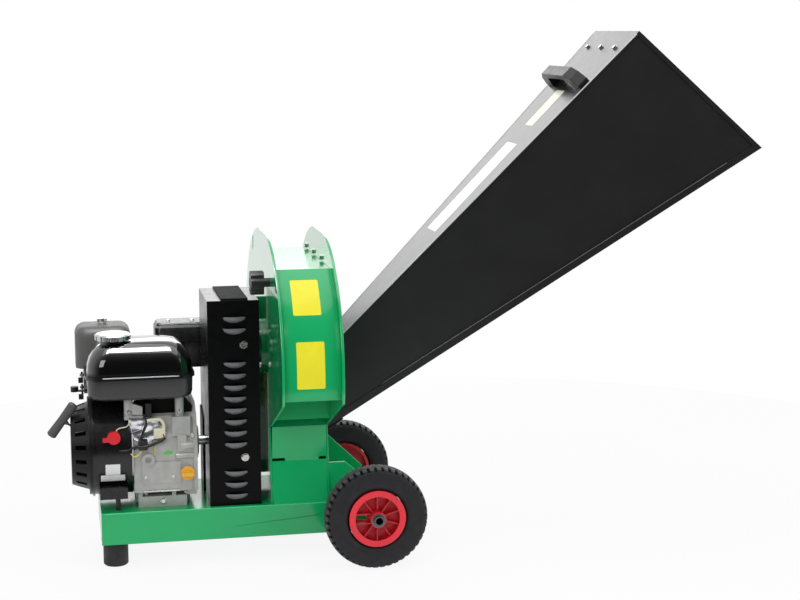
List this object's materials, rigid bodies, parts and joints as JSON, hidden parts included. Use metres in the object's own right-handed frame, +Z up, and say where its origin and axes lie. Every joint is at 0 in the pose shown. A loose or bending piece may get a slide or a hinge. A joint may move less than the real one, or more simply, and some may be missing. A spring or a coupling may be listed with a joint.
{
  "type": "garden shredder",
  "caption": "Wheeled petrol garden shredder: engine and belt drive on a sheet-metal tray, drum with rotor and front discharge, long sloping feed hopper.",
  "frame": {"origin": "on the floor, under the middle of the machine's overall length, on its middle plane between the wheels", "axes": "+X from the engine to the hopper's mouth, +Y away from the discharge side towards the far wheel, +Z up"},
  "size_m": [1.4514, 0.604, 1.0655],
  "materials": {
    "green_paint": "gloss",
    "black_paint": "satin",
    "tank_paint": "gloss",
    "tyre_rubber": "matte",
    "rubber": "matte",
    "rim_plastic": "gloss",
    "red_plastic": "gloss",
    "yellow_plastic": "satin",
    "black_plastic": "satin",
    "filter_plastic": "matte",
    "rope_fibre": "matte",
    "steel": "brushed",
    "cast_alloy": "cast",
    "chrome": "polished"
  },
  "bodies": {
    "chassis": {"base_frame": "green_paint", "base_skirts": "green_paint", "base_ends": "green_paint", "gusset": "green_paint", "left_side_plate": "green_paint", "right_side_plate": "green_paint", "front_cover": "green_paint", "drum_band": "green_paint", "discharge_deflector": "green_paint", "discharge_ramp": "green_paint", "belt_guard": "black_paint", "guard_face": "black_paint", "guard_back_plate": "black_paint", "hopper_near_side": "black_paint", "hopper_far_side": "black_paint", "hopper_top": "black_paint", "hopper_floor": "black_paint", "hopper_flange": "black_paint", "mouth_stiffener": "black_paint", "fan_shroud": "black_paint", "recoil_housing": "black_paint", "muffler": "black_paint", "fuel_tank": "tank_paint", "feet": "rubber", "drive_belt": "rubber", "hopper_handle": "black_plastic", "spark_plug": "black_plastic", "valve_cover": "black_plastic", "air_filter": "filter_plastic", "recoil_rope": "rope_fibre", "axle": "steel", "axle_clips": "steel", "bearings": "steel", "anvil": "steel", "bolts": "steel", "crankcase": "cast_alloy", "side_cover": "cast_alloy", "cylinder_barrel": "cast_alloy", "carburettor": "cast_alloy", "bearing_cartridge": "cast_alloy"},
    "rotor": {"rotor_shaft": "steel", "cutter_disc": "steel", "knives": "steel", "paddles": "steel", "rotor_pulley": "steel"},
    "crank": {"crankshaft": "steel", "flywheel": "cast_alloy", "engine_pulley": "steel"},
    "near_wheel": {"tyre_near": "tyre_rubber", "rim_near": "rim_plastic"},
    "far_wheel": {"tyre_far": "tyre_rubber", "rim_far": "rim_plastic"},
    "grip": {"recoil_grip": "black_plastic"},
    "cap": {"fuel_cap": "chrome"},
    "oil_stick": {"dipstick": "yellow_plastic"},
    "switch": {"stop_switch": "red_plastic"},
    "choke": {"choke_lever": "black_plastic"},
    "fuel_tap": {"fuel_lever": "black_plastic"},
    "throttle": {"throttle_lever": "black_plastic"},
    "knob": {"clamp_knob": "black_plastic"}
  },
  "joints": [
    {"name": "rotor_spin", "type": "hinge", "parent": "chassis", "child": "rotor", "pos_m": [-0.2153, 0.01, 0.42], "axis": [1, 0, 0], "continuous": true},
    {"name": "crank_spin", "type": "hinge", "parent": "chassis", "child": "crank", "pos_m": [-0.4853, 0, 0.229], "axis": [1, 0, 0], "continuous": true},
    {"name": "near_wheel_roll", "type": "hinge", "parent": "chassis", "child": "near_wheel", "pos_m": [-0.0853, -0.202, 0.104], "axis": [0, 1, 0], "continuous": true},
    {"name": "far_wheel_roll", "type": "hinge", "parent": "chassis", "child": "far_wheel", "pos_m": [-0.0853, 0.202, 0.104], "axis": [0, 1, 0], "continuous": true},
    {"name": "recoil_pull", "type": "slide", "parent": "chassis", "child": "grip", "axis": [-0.8, 0, 0.6], "range_m": [0, 0.6], "deforming": ["recoil_rope"]},
    {"name": "cap_turn", "type": "hinge", "parent": "chassis", "child": "cap", "pos_m": [-0.5913, -0.054, 0.46], "axis": [0, 0, 1], "range_deg": [0, 90]},
    {"name": "oil_stick_turn", "type": "hinge", "parent": "chassis", "child": "oil_stick", "pos_m": [-0.4513, -0.1, 0.187], "axis": [0, 1, 0], "continuous": true},
    {"name": "switch_turn", "type": "hinge", "parent": "chassis", "child": "switch", "pos_m": [-0.5963, -0.1, 0.267], "axis": [0, 1, 0], "range_deg": [0, 60]},
    {"name": "choke_swing", "type": "hinge", "parent": "chassis", "child": "choke", "pos_m": [-0.6513, 0.114, 0.353], "axis": [1, 0, 0], "range_deg": [-40, 0]},
    {"name": "fuel_tap_swing", "type": "hinge", "parent": "chassis", "child": "fuel_tap", "pos_m": [-0.6513, 0.114, 0.327], "axis": [1, 0, 0], "range_deg": [0, 40]},
    {"name": "throttle_swing", "type": "hinge", "parent": "chassis", "child": "throttle", "pos_m": [-0.6163, 0.066, 0.328], "axis": [0, 0, 1], "range_deg": [0, 40]},
    {"name": "knob_turn", "type": "hinge", "parent": "chassis", "child": "knob", "pos_m": [-0.2903, -0.126, 0.573], "axis": [1, 0, 0], "continuous": true}
  ],
  "couplings": [
    {"joint": "crank_spin", "follows": "rotor_spin", "ratio": 1.5}
  ]
}
